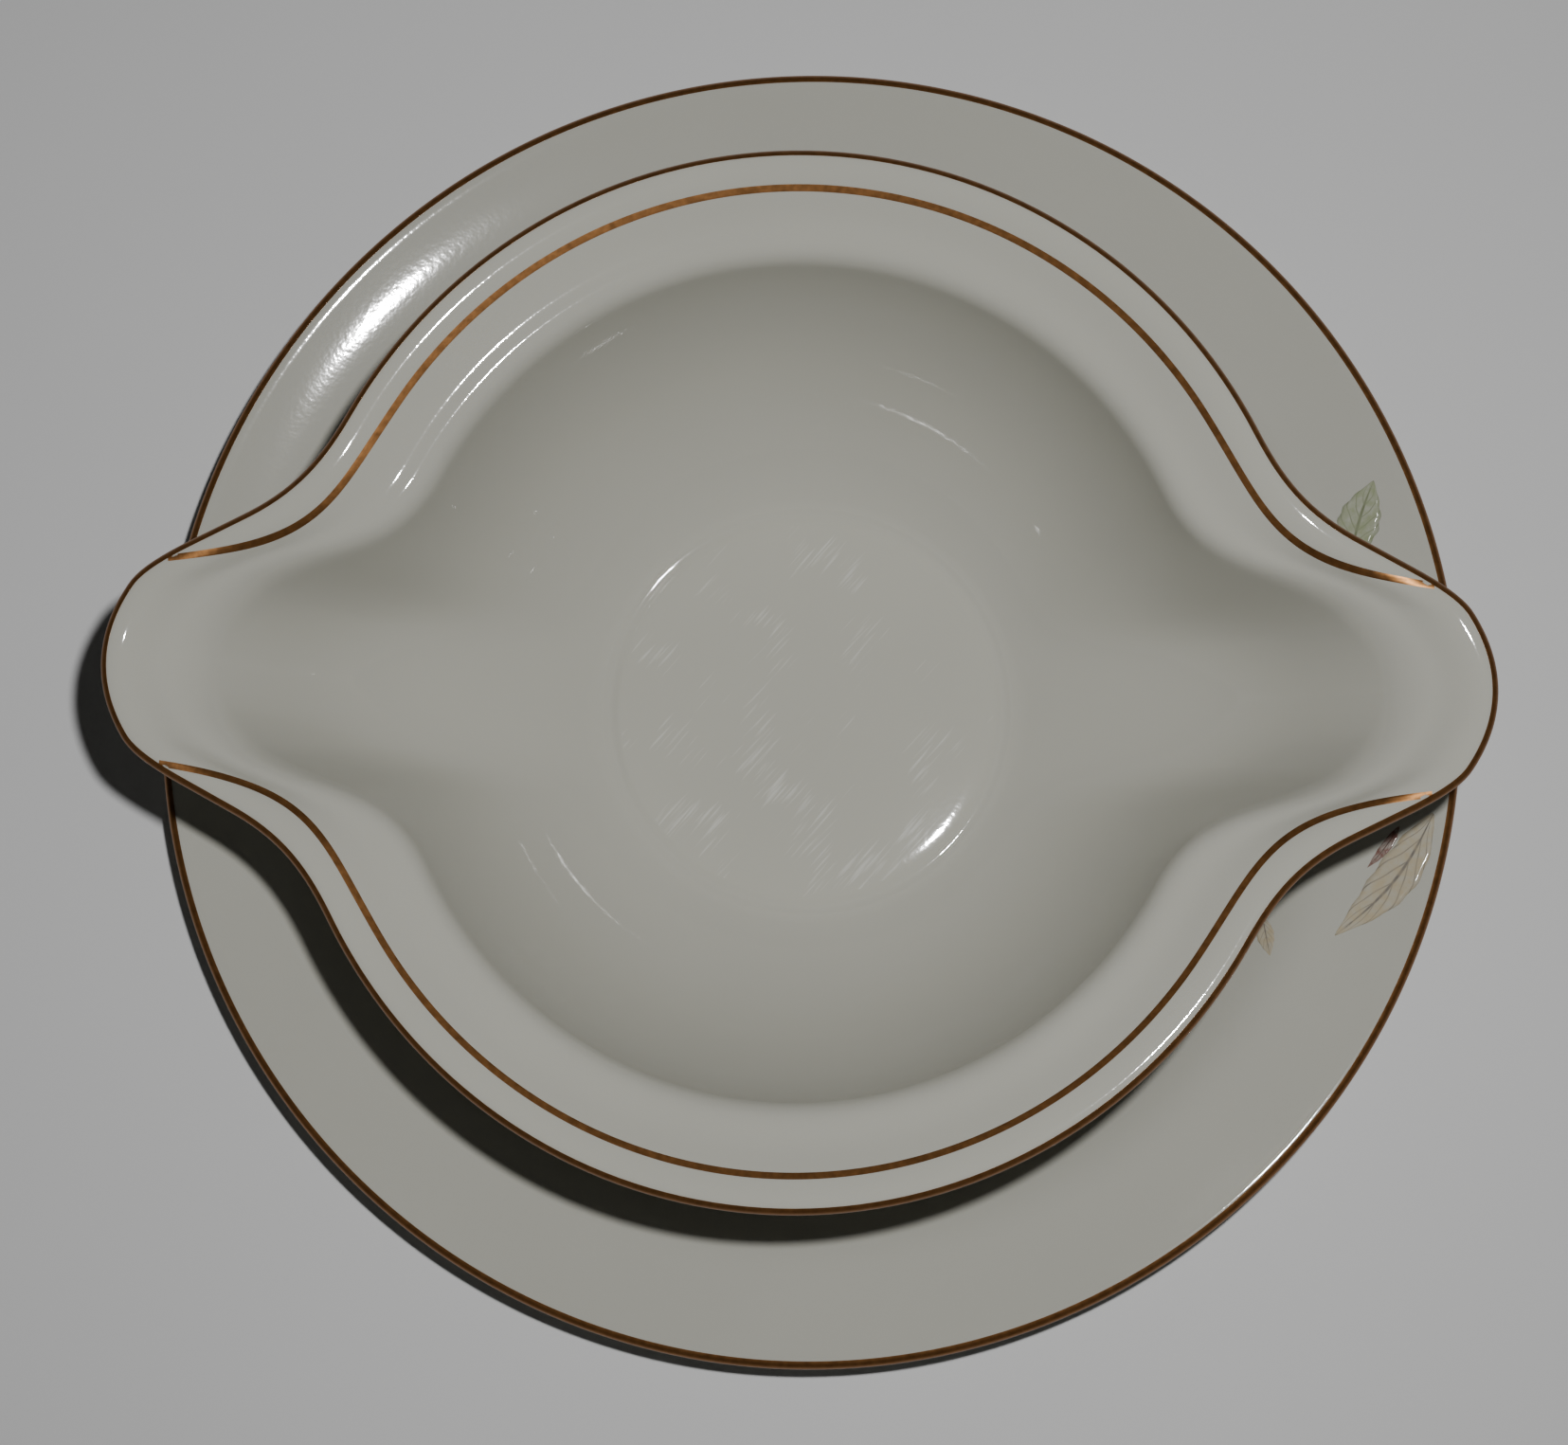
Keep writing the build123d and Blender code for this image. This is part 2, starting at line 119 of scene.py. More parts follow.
class StageSettings(bpy.types.PropertyGroup):
    """Floor, lamps and camera."""
    floor: paint("Floor", "Pale table top", "#D8D8D8")
    key_power: bpy.props.FloatProperty(name="Key power", description="Small lamp beside the camera",
                                       default=2.6, unit="POWER")
    room_light: bpy.props.FloatProperty(name="Room light", description="Even light from all round",
                                        default=0.02, min=0)
    focal_length: bpy.props.FloatProperty(name="Focal length", description="Of the camera, in mm",
                                          default=82.98, unit="CAMERA")


# ---------------------------------------------------------------- plan curves of the boat
LINE_SPOUT_SLOPE = 3.6
SPOUT_SIDE_SLOPE = 27.5
CHANNEL_SIDE_SLOPE = 14.6
CORNER_SETBACK = 6.1 * MM
CHANNEL_SETBACK = 12.7 * MM
CHANNEL_HEAD_BLUNTNESS = 1.15
CORNER_BLEND, SPOUT_BLEND, LINE_BLEND = 3.0 * MM, 8.5 * MM, 39.0 * MM
HEAD_BLEND, CHANNEL_BLEND = 8.0 * MM, 12.0 * MM
SPOUT_TURN = 24               # degrees each side of a spout's middle where the wall changes
TIP = (BOAT_HIGH.x - BOAT_LOW.x) / 2
HALF_WIDTH = (BOAT_HIGH.y - BOAT_LOW.y) / 2


def oval(turn, half_x, half_y):
    return 1 / np.hypot(np.cos(turn) / half_x, np.sin(turn) / half_y)


def side_line(turn, x, y, slope):
    """Radius of a straight spout side through (x, y) that closes in at a slope in degrees."""
    across, along = sin(radians(slope)), cos(radians(slope))
    return (x * across + y * along) / (across * np.abs(np.cos(turn)) + along * np.abs(np.sin(turn)))


def smooth_max(a, b, width):
    """The larger of two values, rounded where they are within width of each other."""
    near = np.maximum(width - np.abs(a - b), 0) / width
    return np.maximum(a, b) + near * near * width / 4


def smooth_min(a, b, width):
    return -smooth_max(-a, -b, width)


def edge_radius(turn):
    boat = bpy.context.scene.gravy_boat
    corner_x, corner_y = TIP - CORNER_SETBACK, boat.spout_width / 2
    body = oval(turn, boat.body_length / 2, HALF_WIDTH)
    front = oval(turn, TIP, corner_y / (1 - (corner_x / TIP) ** 2) ** 0.5)
    side = side_line(turn, corner_x, corner_y, SPOUT_SIDE_SLOPE)
    return smooth_max(body, smooth_min(front, side, CORNER_BLEND), SPOUT_BLEND)


def line_radius(turn):
    boat = bpy.context.scene.gravy_boat
    body = oval(turn, boat.body_length / 2 - boat.line_inset, HALF_WIDTH - boat.line_inset)
    side = side_line(turn, TIP - CORNER_SETBACK, boat.spout_width / 2, LINE_SPOUT_SLOPE)
    return smooth_max(body, side, LINE_BLEND)


def shoulder_radius(turn):
    boat = bpy.context.scene.gravy_boat
    body = oval(turn, boat.body_length / 2 - boat.band_inset, HALF_WIDTH - boat.band_inset)
    head = TIP - CHANNEL_SETBACK
    front = oval(turn, head, boat.channel_width * CHANNEL_HEAD_BLUNTNESS)
    side = side_line(turn, head, boat.channel_width / 2, CHANNEL_SIDE_SLOPE)
    return smooth_max(body, smooth_min(front, side, HEAD_BLEND), CHANNEL_BLEND)


def spout_share(turn):
    """1 along the middle of a spout, falling smoothly to 0 on the plain side of the bowl."""
    off = np.minimum(np.abs(np.sin(turn)) / sin(radians(SPOUT_TURN)), 1)
    return ((1 - off * off) ** 2)[:, None]


def outward(turn):
    return np.stack([np.cos(turn), np.sin(turn), np.zeros_like(turn)], axis=1)


def unit(vectors):
    return vectors / np.linalg.norm(vectors, axis=1, keepdims=True)


def edge_points(turn, inset):
    """Points of the outline moved in square to it, and the level directions square to it."""
    step = 1e-4
    ahead = outward(turn + step) * edge_radius(turn + step)[:, None]
    behind = outward(turn - step) * edge_radius(turn - step)[:, None]
    along = unit(ahead - behind)
    square = np.stack([along[:, 1], -along[:, 0], np.zeros_like(turn)], axis=1)
    return (ahead + behind) / 2 - square * inset, square


# ---------------------------------------------------------------- the boat's inside surface
UP = np.array([[0.0, 0.0, 1.0]])
SHOULDER_DROP = 4.2 * MM
SPOUT_DROP = 0.8 * MM

# The wall's section, first beside the bowl and then along the middle of a spout. Slopes are in
# degrees, and a reach is how far, in millimetres, a curve holds on to its slope.
FOOT_SLOPE, FOOT_REACH = (22, 25), (16, 44)
WALL_SLOPE, WALL_REACH = (84, 52), (22, 22)
WALL_TOP_DROP = (3.8, 5.1)
WALL_TOP_SETBACK = (1.0, 4.0)
TURN_REACH = (3.0, 3.0)
BAND_SLOPE, BAND_REACH = (5, 20), (2.4, 3.0)
BAND_START, BAND_RISE = 3.4 * MM, 0.3 * MM


def bezier(a, b, c, d, t):
    s = 1 - t
    return a * s ** 3 + b * (3 * s * s * t) + c * (3 * s * t * t) + d * t ** 3


def between(values, share):
    """From a pair's first value, beside the bowl, to its second, along a spout's middle."""
    return values[0] + (values[1] - values[0]) * share


def heading(flat, slope):
    """Unit steps along level directions that climb at a slope in degrees."""
    return flat * np.cos(np.radians(slope)) + UP * np.sin(np.radians(slope))


def inside(turn, s):
    """The inside surface: s runs 0-1 up the wall, 1-2 over the shoulder, 2-3 out to the lip."""
    boat = bpy.context.scene.gravy_boat
    share = spout_share(turn)
    ray = outward(turn)
    shoulder = shoulder_radius(turn)[:, None]
    shoulder_z = BOAT_HIGH.z - SHOULDER_DROP
    wall_top = (ray * (shoulder - between(WALL_TOP_SETBACK, share) * MM)
                + UP * (shoulder_z - between(WALL_TOP_DROP, share) * MM))
    wall_end = heading(ray, between(WALL_SLOPE, share))
    if s <= 1:
        foot = ray * boat.floor_radius + UP * (BOAT_LOW.z + boat.floor_height)
        foot_start = heading(ray, between(FOOT_SLOPE, share))
        return bezier(foot, foot + foot_start * between(FOOT_REACH, share) * MM,
                      wall_top - wall_end * between(WALL_REACH, share) * MM, wall_top, s)
    band = ray * (shoulder + BAND_START) + UP * (shoulder_z + BAND_RISE)
    band_start = heading(ray, between(BAND_SLOPE, share))
    if s <= 2:
        return bezier(wall_top, wall_top + wall_end * between(TURN_REACH, share) * MM,
                      band - band_start * between(BAND_REACH, share) * MM, band, s - 1)
    lip, square = edge_points(turn, boat.wall / 2)
    lip = lip + UP * (BOAT_HIGH.z - SPOUT_DROP * share)
    reach = np.linalg.norm(lip - band, axis=1, keepdims=True) / 3
    return bezier(band, band + band_start * reach, lip - square * reach, lip, s - 2)


def frame_at(turn, s):
    """Points, unit normals towards the inside of the boat, and unit steps towards the lip."""
    step = 1e-4
    climb = unit(inside(turn, min(s + step, 3)) - inside(turn, max(s - step, 0)))
    along = unit(inside(turn + step, s) - inside(turn - step, s))
    normal = unit(np.cross(climb, along))
    normal *= np.sign(normal[:, 2:3])
    return inside(turn, s), normal, climb


def skin_points(turn, s, height):
    point, normal, _ = frame_at(turn, s)
    return point + normal * height


def nose_points(turn, angle, radius):
    """Points of the rounded lip: angle 0 is its top, 90 its outermost line, 180 its underside."""
    point, normal, climb = frame_at(turn, 3)
    a = radians(angle)
    square = unit(climb - normal * np.sum(climb * normal, axis=1, keepdims=True))
    half_wall = bpy.context.scene.gravy_boat.wall / 2
    return point - normal * half_wall + (normal * cos(a) + square * sin(a)) * radius


# ---------------------------------------------------------------- mesh building
QUARTER = 88                  # columns of faces in a quarter of the boat
STEPS = np.linspace(0, pi / 2, QUARTER + 1)
TURNS = STEPS - 0.36 * np.sin(2 * STEPS)     # closer together at the spouts
PLATE_COLUMNS = 480


def full_turn(quarter):
    """A closed row of points from the points of its first quarter."""
    quarter = np.asarray(quarter)
    over_x = quarter[-2::-1] * (-1, 1, 1)
    half = np.vstack([quarter, over_x])
    return np.vstack([half, half[-2:0:-1] * (1, -1, 1)])


def boat_circle(radius, z):
    """A level circle with the same columns as the boat's own rows."""
    return full_turn(outward(TURNS) * radius + UP * z)


def plate_circle(radius, z):
    turn = np.linspace(0, 2 * pi, PLATE_COLUMNS, endpoint=False)
    return outward(turn) * radius + UP * z


def cover(turn_rows):
    """Quads between rows of points that each close on themselves."""
    rows, columns = len(turn_rows), len(turn_rows[0])
    faces = []
    for row in range(rows - 1):
        for column in range(columns):
            after = (column + 1) % columns
            faces.append((row * columns + column, row * columns + after,
                          (row + 1) * columns + after, (row + 1) * columns + column))
    return faces


def new_piece(name, points, faces, material, body, slot, *nodes):
    mesh = bpy.data.meshes.new(name)
    mesh.from_pydata([tuple(p) for p in points], [], faces)
    mesh.validate()
    mesh.update()
    mesh.polygons.foreach_set("use_smooth", [True] * len(mesh.polygons))
    mesh.materials.append(material)
    piece = bpy.data.objects.new(name, mesh)
    bpy.context.scene.collection.objects.link(piece)
    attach(piece, body)
    if nodes:
        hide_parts(*nodes)
    return piece


def closed_shell(rows, first_centre, last_centre):
    """Points and faces of a closed surface of turned rows, with a fan at each end."""
    points = np.vstack(rows + [first_centre, last_centre])
    faces = cover(rows)
    columns = len(rows[0])
    first, last = len(points) - 2, len(points) - 1
    start = (len(rows) - 1) * columns
    for column in range(columns):
        after = (column + 1) % columns
        faces.append((after, column, first))
        faces.append((start + column, start + after, last))
    return points, faces


def closed_hoop(rows):
    """Points and faces of a hoop whose rows go all round its thin section."""
    columns = len(rows[0])
    faces = cover(rows + [rows[0]])
    count = len(rows) * columns
    return np.vstack(rows), [tuple(i % count for i in face) for face in faces]


def outward_facing(piece, crisp=False):
    """Turns every face of a closed piece outwards. The corners of a crisp one stay sharp."""
    bm = bmesh.new()
    bm.from_mesh(piece.data)
    bmesh.ops.recalc_face_normals(bm, faces=bm.faces)
    bm.to_mesh(piece.data)
    bm.free()
    if crisp:
        piece.data.set_sharp_from_angle(angle=radians(40))
    return piece


# ---------------------------------------------------------------- materials
def linear(text):
    """An sRGB hex colour as linear RGBA."""
    parts = [int(text[i:i + 2], 16) / 255 for i in (1, 3, 5)]
    return [p / 12.92 if p <= 0.04045 else ((p + 0.055) / 1.055) ** 2.4 for p in parts] + [1.0]


def add(tree, kind, settings, links=()):
    """Adds a node with its settings, and links its named inputs to the sockets given."""
    node = tree.nodes.new(kind)
    for key, value in settings.items():
        if isinstance(key, str) and hasattr(node, key):
            setattr(node, key, value)
        else:
            node.inputs[key].default_value = value
    for key, socket in dict(links).items():
        tree.links.new(socket, node.inputs[key])
    return node


def new_material(name):
    material = bpy.data.materials.new(name)
    material.use_nodes = True
    material.node_tree.nodes.clear()
    return material, material.node_tree


def finish_material(material, tree, shader):
    add(tree, "ShaderNodeOutputMaterial", {}, {"Surface": shader.outputs["BSDF"]})
    return material


def shade(colour, factor=1.0):
    """A colour of the finish settings as linear RGBA, darkened or lightened by a factor."""
    red, green, blue, _ = linear(getattr(bpy.context.scene.gravy_finish, colour))
    return [red * factor, green * factor, blue * factor, 1.0]


def glazed_porcelain(scuffs=False):
    """Slip-cast hard-paste porcelain under a clear feldspathic glaze: a warm white body with a
    mirror gloss. The glaze pooled unevenly, so reflections waver over a few centimetres, and it
    has a fine orange peel that breaks the ends of a highlight into sparks. The floor of the bowl
    also has faint scuffs, all one way, from ladles and spoons."""
    material, tree = new_material("Glazed porcelain, scuffed" if scuffs else "Glazed porcelain")
    place = add(tree, "ShaderNodeTexCoord", {}).outputs["Object"]
    pool = add(tree, "ShaderNodeTexNoise", {"Scale": 1 / (30 * MM), "Detail": 1.0},
               {"Vector": place}).outputs["Fac"]
    peel = add(tree, "ShaderNodeTexNoise", {"Scale": 1 / (0.9 * MM), "Detail": 1.0},
               {"Vector": place}).outputs["Fac"]
    tone = add(tree, "ShaderNodeMixRGB", {"Color1": shade("glaze", 0.97),
                                          "Color2": shade("glaze", 1.03)}, {"Fac": pool})
    wave = add(tree, "ShaderNodeBump", {"Strength": 0.5, "Distance": 0.12 * MM}, {"Height": pool})
    skin = add(tree, "ShaderNodeBump", {"Strength": 0.25, "Distance": 0.02 * MM},
               {"Height": peel, "Normal": wave.outputs["Normal"]})
    shader = add(tree, "ShaderNodeBsdfPrincipled",
                 {"Roughness": 0.035, "IOR": 1.51, "Subsurface Weight": 0.1,
                  "Subsurface Radius": (1.0, 0.8, 0.55), "Subsurface Scale": 1.2 * MM},
                 {"Normal": skin.outputs["Normal"], "Base Color": tone.outputs["Color"]})
    if scuffs:
        # Real scuffs are hairlines; these are 0.25 mm wide so that they show.
        lie = add(tree, "ShaderNodeMapping", {"vector_type": "TEXTURE", "Rotation": (0, 0, radians(50)),
                                              "Scale": (9 * MM, 0.5 * MM, 1)},
                  {"Vector": place})
        line = add(tree, "ShaderNodeTexNoise", {"Scale": 1.0, "Detail": 1.0},
                   {"Vector": lie.outputs["Vector"]})
        some = add(tree, "ShaderNodeTexNoise", {"Scale": 1 / (11 * MM), "Detail": 1.0},
                   {"Vector": place})
        both = add(tree, "ShaderNodeMath", {"operation": "MULTIPLY"},
                   {0: line.outputs["Fac"], 1: some.outputs["Fac"]})
        mark = add(tree, "ShaderNodeMapRange", {"From Min": 0.33, "From Max": 0.45, "To Max": 0.3},
                   {"Value": both.outputs["Value"]})
        worn = add(tree, "ShaderNodeMixRGB", {"Color2": linear("#F2F2EE")},
                   {"Color1": tone.outputs["Color"], "Fac": mark.outputs["Result"]})
        tree.links.new(worn.outputs["Color"], shader.inputs["Base Color"])
    return finish_material(material, tree, shader)


def biscuit_tread():
    """Bare porcelain, ground flat where the ware stood in the kiln: chalky, matt, a little grey."""
    material, tree = new_material("Biscuit porcelain, ground")
    place = add(tree, "ShaderNodeTexCoord", {}).outputs["Object"]
    grit = add(tree, "ShaderNodeTexNoise", {"Scale": 1 / (0.6 * MM), "Detail": 3.0},
               {"Vector": place}).outputs["Fac"]
    tone = add(tree, "ShaderNodeMixRGB", {"Color1": linear("#A8A59B"), "Color2": linear("#C4C1B6")},
               {"Fac": grit})
    bump = add(tree, "ShaderNodeBump", {"Strength": 0.4, "Distance": 0.05 * MM}, {"Height": grit})
    shader = add(tree, "ShaderNodeBsdfPrincipled", {"Roughness": 0.85},
                 {"Normal": bump.outputs["Normal"], "Base Color": tone.outputs["Color"]})
    return finish_material(material, tree, shader)


def burnished_gold():
    """Liquid bright gold, banded on by brush and fired: a thin metal film with fine brush marks
    and uneven cover, so it goes from dark brown to bright orange as it turns to the light."""
    material, tree = new_material("Fired gold, hand-banded")
    place = add(tree, "ShaderNodeTexCoord", {}).outputs["Object"]
    streak = add(tree, "ShaderNodeTexNoise", {"Scale": 1 / (1.1 * MM), "Detail": 3.0},
                 {"Vector": place}).outputs["Fac"]
    tone = add(tree, "ShaderNodeMixRGB", {"Color1": shade("gold", 0.6),
                                          "Color2": shade("gold", 1.25)}, {"Fac": streak})
    rough = add(tree, "ShaderNodeMapRange", {"To Min": 0.3, "To Max": 0.44}, {"Value": streak})
    bump = add(tree, "ShaderNodeBump", {"Strength": 0.3, "Distance": 0.06 * MM},
               {"Height": streak})
    shader = add(tree, "ShaderNodeBsdfPrincipled", {"Metallic": 0.8},
                 {"Normal": bump.outputs["Normal"], "Base Color": tone.outputs["Color"],
                  "Roughness": rough.outputs["Result"]})
    return finish_material(material, tree, shader)


def leaf_transfer(name, wash, vein):
    """An enamel transfer under the glaze: a thin uneven wash of colour, with a midrib and slanting
    side veins in a second, darker printing. UV runs along the leaf (u) and across it (v)."""
    material, tree = new_material(name)
    place = add(tree, "ShaderNodeTexCoord", {})
    split = add(tree, "ShaderNodeSeparateXYZ", {}, {"Vector": place.outputs["UV"]})
    blot = add(tree, "ShaderNodeTexNoise", {"Scale": 1 / (1.6 * MM), "Detail": 3.0},
               {"Vector": place.outputs["Object"]}).outputs["Fac"]
    off = add(tree, "ShaderNodeMath", {"operation": "SUBTRACT", 1: 0.5},
              {0: split.outputs["Y"]})
    away = add(tree, "ShaderNodeMath", {"operation": "ABSOLUTE"}, {0: off.outputs["Value"]})
    midrib = add(tree, "ShaderNodeMapRange", {"From Min": 0.02, "From Max": 0.05, "To Min": 0.8,
                                              "To Max": 0.0}, {"Value": away.outputs["Value"]})
    slant = add(tree, "ShaderNodeMath", {"operation": "MULTIPLY_ADD", 1: -4.0},
                {0: away.outputs["Value"], 2: add(tree, "ShaderNodeMath", {
                    "operation": "MULTIPLY", 1: 6.0}, {0: split.outputs["X"]}).outputs["Value"]})
    turn = add(tree, "ShaderNodeMath", {"operation": "PINGPONG", 1: 0.5},
               {0: slant.outputs["Value"]})
    side = add(tree, "ShaderNodeMapRange", {"From Min": 0.03, "From Max": 0.1, "To Min": 0.55,
                                            "To Max": 0.0}, {"Value": turn.outputs["Value"]})
    print_ = add(tree, "ShaderNodeMath", {"operation": "MAXIMUM"},
                 {0: midrib.outputs["Result"], 1: side.outputs["Result"]})
    patchy = add(tree, "ShaderNodeMath", {"operation": "MULTIPLY"},
                 {0: print_.outputs["Value"], 1: blot})
    strong = add(tree, "ShaderNodeMath", {"operation": "MULTIPLY", 1: 1.7, "use_clamp": True},
                 {0: patchy.outputs["Value"]})
    ground = add(tree, "ShaderNodeMixRGB", {"Color1": shade(wash, 0.9), "Color2": shade("glaze")},
                 {"Fac": add(tree, "ShaderNodeMapRange", {"From Min": 0.35, "From Max": 0.75,
                                                          "To Max": 0.7},
                             {"Value": blot}).outputs["Result"]})
    tone = add(tree, "ShaderNodeMixRGB", {"Color2": shade(vein)},
               {"Color1": ground.outputs["Color"], "Fac": strong.outputs["Value"]})
    shader = add(tree, "ShaderNodeBsdfPrincipled", {"Roughness": 0.08, "IOR": 1.51},
                 {"Base Color": tone.outputs["Color"]})
    return finish_material(material, tree, shader)


# ---------------------------------------------------------------- boat
TROUGH_WIDTH, TROUGH_DEPTH = 3.4 * MM, 0.4 * MM   # soft ring round the floor of the bowl
FLOOR_DOME = 0.35 * MM        # the floor is very slightly domed, as slip-cast floors are


def boat_rows():
    """Rows over the floor, up the inside, round the lip, and down the outside to the foot."""
    boat = bpy.context.scene.gravy_boat
    floor_z = BOAT_LOW.z + boat.floor_height
    flat = boat.floor_radius - TROUGH_WIDTH
    rows = []
    for radius in np.linspace(2 * MM, flat, 16):
        rows.append(boat_circle(radius, floor_z + FLOOR_DOME * (1 - (radius / flat) ** 2)))
    for t in np.linspace(0, 1, 11)[1:-1]:
        z = floor_z - TROUGH_DEPTH * sin(pi * t) ** 2
        rows.append(boat_circle(flat + TROUGH_WIDTH * t, z))
    inner = np.concatenate([np.linspace(0, 1, 42), np.linspace(1, 2, 15)[1:],
                            np.linspace(2, 3, 15)[1:]])
    rows += [full_turn(inside(TURNS, s)) for s in inner]
    rows += [full_turn(nose_points(TURNS, angle, boat.wall / 2))
             for angle in np.linspace(0, 180, 15)[1:]]
    outer = np.concatenate([np.linspace(3, 2, 9)[1:], np.linspace(2, 1, 9)[1:],
                            np.linspace(1, 0.22, 34)[1:]])
    rows += [full_turn(skin_points(TURNS, s, -boat.wall)) for s in outer]
    return rows


def foot_profile():
    """Radius and height down the outside of the foot ring and back up inside it."""
    boat = bpy.context.scene.gravy_boat
    seat, outer, tread = BOAT_LOW.z, boat.foot_radius, 0.6 * MM
    under = seat + 9 * MM
    inner = outer - 4.3 * MM
    flare = [(outer + 4.6 * MM, under + 4.6 * MM), (outer + 2.4 * MM, under + 3.0 * MM),
             (outer + 0.8 * MM, under + 0.9 * MM), (outer - 0.1 * MM, under - 1.8 * MM),
             (outer - 0.3 * MM, seat + 5.5 * MM), (outer - 0.1 * MM, seat + 2.5 * MM)]
    ring = [(outer, seat + tread), (outer - 0.15 * MM, seat + 0.25 * tread),
            (outer - tread, seat), (inner + 0.3 * MM + tread, seat),
            (inner + 0.45 * MM, seat + 0.25 * tread), (inner + 0.3 * MM, seat + tread),
            (inner, under - 1.2 * MM), (inner - 0.5 * MM, under - 0.3 * MM),
            (inner - 1.6 * MM, under)]
    return flare + ring


class MakeSauceBoat(bpy.types.Operator):
    """Builds the sauce boat's porcelain shell in place of its CAD node"""
    bl_idname = "gravy_boat.sauce_boat"
    bl_label = "Sauce boat"

    def execute(self, context):
        rows = boat_rows()
        rows += [boat_circle(radius, z) for radius, z in foot_profile()]
        rows.append(boat_circle(2 * MM, rows[-1][0][2]))
        first, last = rows[0][0][2], rows[-1][0][2]
        points, faces = closed_shell(rows, [(0, 0, first)], [(0, 0, last)])
        piece = new_piece("sauce_boat_shell", points, faces, glazed_porcelain(), "boat",
                          "porcelain", "sauce_boat")
        outward_facing(piece)
        piece.data.materials.append(glazed_porcelain(scuffs=True))
        piece.data.materials.append(biscuit_tread())
        flat = context.scene.gravy_boat.floor_radius - TROUGH_WIDTH
        for face in piece.data.polygons:
            middle = face.center
            if middle.z < BOAT_LOW.z + 0.05 * MM:
                face.material_index = 2
            elif middle.xy.length < flat and face.normal.z > 0.9:
                face.material_index = 1
        return {"FINISHED"}


# ---------------------------------------------------------------- underplate
def plate_top(radius):
    """Height of the top of the rim and shoulder at a radius."""
    curve = plate_curve()
    return np.interp(radius, curve[:, 0], curve[:, 1])


EDGE_RADIUS = 1.5 * MM
PLATE_THICKNESS = 3.8 * MM
RIM_HOLLOW = 0.25 * MM        # the rim is very slightly dished between its two ends
EDGE_Z = PLATE_HIGH.z - EDGE_RADIUS
PLATE_RADIUS = (PLATE_HIGH.x - PLATE_LOW.x) / 2


def edge_mark(angle, radius=EDGE_RADIUS):
    """Radius and height of a point of the rolled edge: 0 is its top and 90 its outermost line."""
    return (PLATE_RADIUS - EDGE_RADIUS + radius * sin(radians(angle)),
            EDGE_Z + radius * cos(radians(angle)))


def bend(start, start_slope, end, end_slope, handle, count):
    """Points of a curve between two (radius, height) places that leaves and arrives at slopes."""
    a, d = np.array(start), np.array(end)
    b = a + np.array([handle, handle * tan(start_slope)])
    c = d - np.array([handle, handle * tan(end_slope)])
    return [bezier(a, b, c, d, t) for t in np.linspace(0, 1, count)]


def plate_curve():
    plate = bpy.context.scene.gravy_plate
    rim_in = PLATE_RADIUS - EDGE_RADIUS - plate.rim_width
    top = edge_mark(-np.degrees(plate.rim_slope))
    rim_in_z = top[1] - (top[0] - rim_in) * tan(plate.rim_slope)
    start = (rim_in - plate.shoulder_width, plate.well_height)
    curve = bend(start, 0, (rim_in, rim_in_z), plate.rim_slope, plate.shoulder_width * 0.42, 26)
    for t in np.linspace(0, 1, 13)[1:]:
        radius, z = rim_in + (top[0] - rim_in) * t, rim_in_z + (top[1] - rim_in_z) * t
        curve.append((radius, z - RIM_HOLLOW * sin(pi * t)))
    return np.array(curve)


def plate_profile():
    plate = bpy.context.scene.gravy_plate
    boat = bpy.context.scene.gravy_boat
    seat = boat.foot_radius + 1.0 * MM
    seat_z = BOAT_LOW.z
    well = plate.well_height
    curve = plate_curve()
    rim_in, rim_in_z = curve[-13]
    slope_deg = float(np.degrees(plate.rim_slope))
    under_z = well - PLATE_THICKNESS
    foot_out, foot_in, tread = plate.foot_radius, plate.foot_radius - 4.0 * MM, 0.7 * MM
    points = [(2 * MM, seat_z), (seat * 0.5, seat_z), (seat - 0.4 * MM, seat_z),
              (seat + 0.1 * MM, seat_z + 0.08 * MM), (seat + 0.6 * MM, (seat_z + well) / 2),
              (seat + 1.1 * MM, well - 0.08 * MM), (seat + 1.6 * MM, well), (seat + 8 * MM, well),
              (curve[0, 0] - 12 * MM, well)]
    points += [tuple(p) for p in curve[:-1]]
    points += [edge_mark(angle) for angle in np.linspace(-slope_deg, 180 - slope_deg, 15)]
    bottom = edge_mark(180 - slope_deg)
    under_in = (rim_in + 1.0 * MM, rim_in_z - PLATE_THICKNESS)
    slope = (bottom[1] - under_in[1]) / (bottom[0] - under_in[0])
    points += [tuple(p) for p in np.linspace(bottom, under_in, 8)[1:-1]]
    under_well = (curve[0, 0] + 1.5 * MM, under_z)
    back = bend(under_well, 0, under_in, np.arctan(slope), plate.shoulder_width * 0.42, 20)
    points += [tuple(p) for p in back[::-1]]
    points += [(foot_out + 3 * MM, under_z), (foot_out + 1.4 * MM, under_z - 0.1 * MM),
               (foot_out + 0.7 * MM, under_z - 0.8 * MM), (foot_out, tread),
               (foot_out - 0.2 * tread, 0.2 * tread), (foot_out - tread, 0), (foot_in + tread, 0),
               (foot_in + 0.2 * tread, 0.2 * tread), (foot_in, tread),
               (foot_in - 0.7 * MM, under_z - 0.8 * MM), (foot_in - 1.4 * MM, under_z - 0.1 * MM),
               (foot_in - 3 * MM, under_z), (foot_in * 0.5, under_z), (2 * MM, under_z)]
    return points


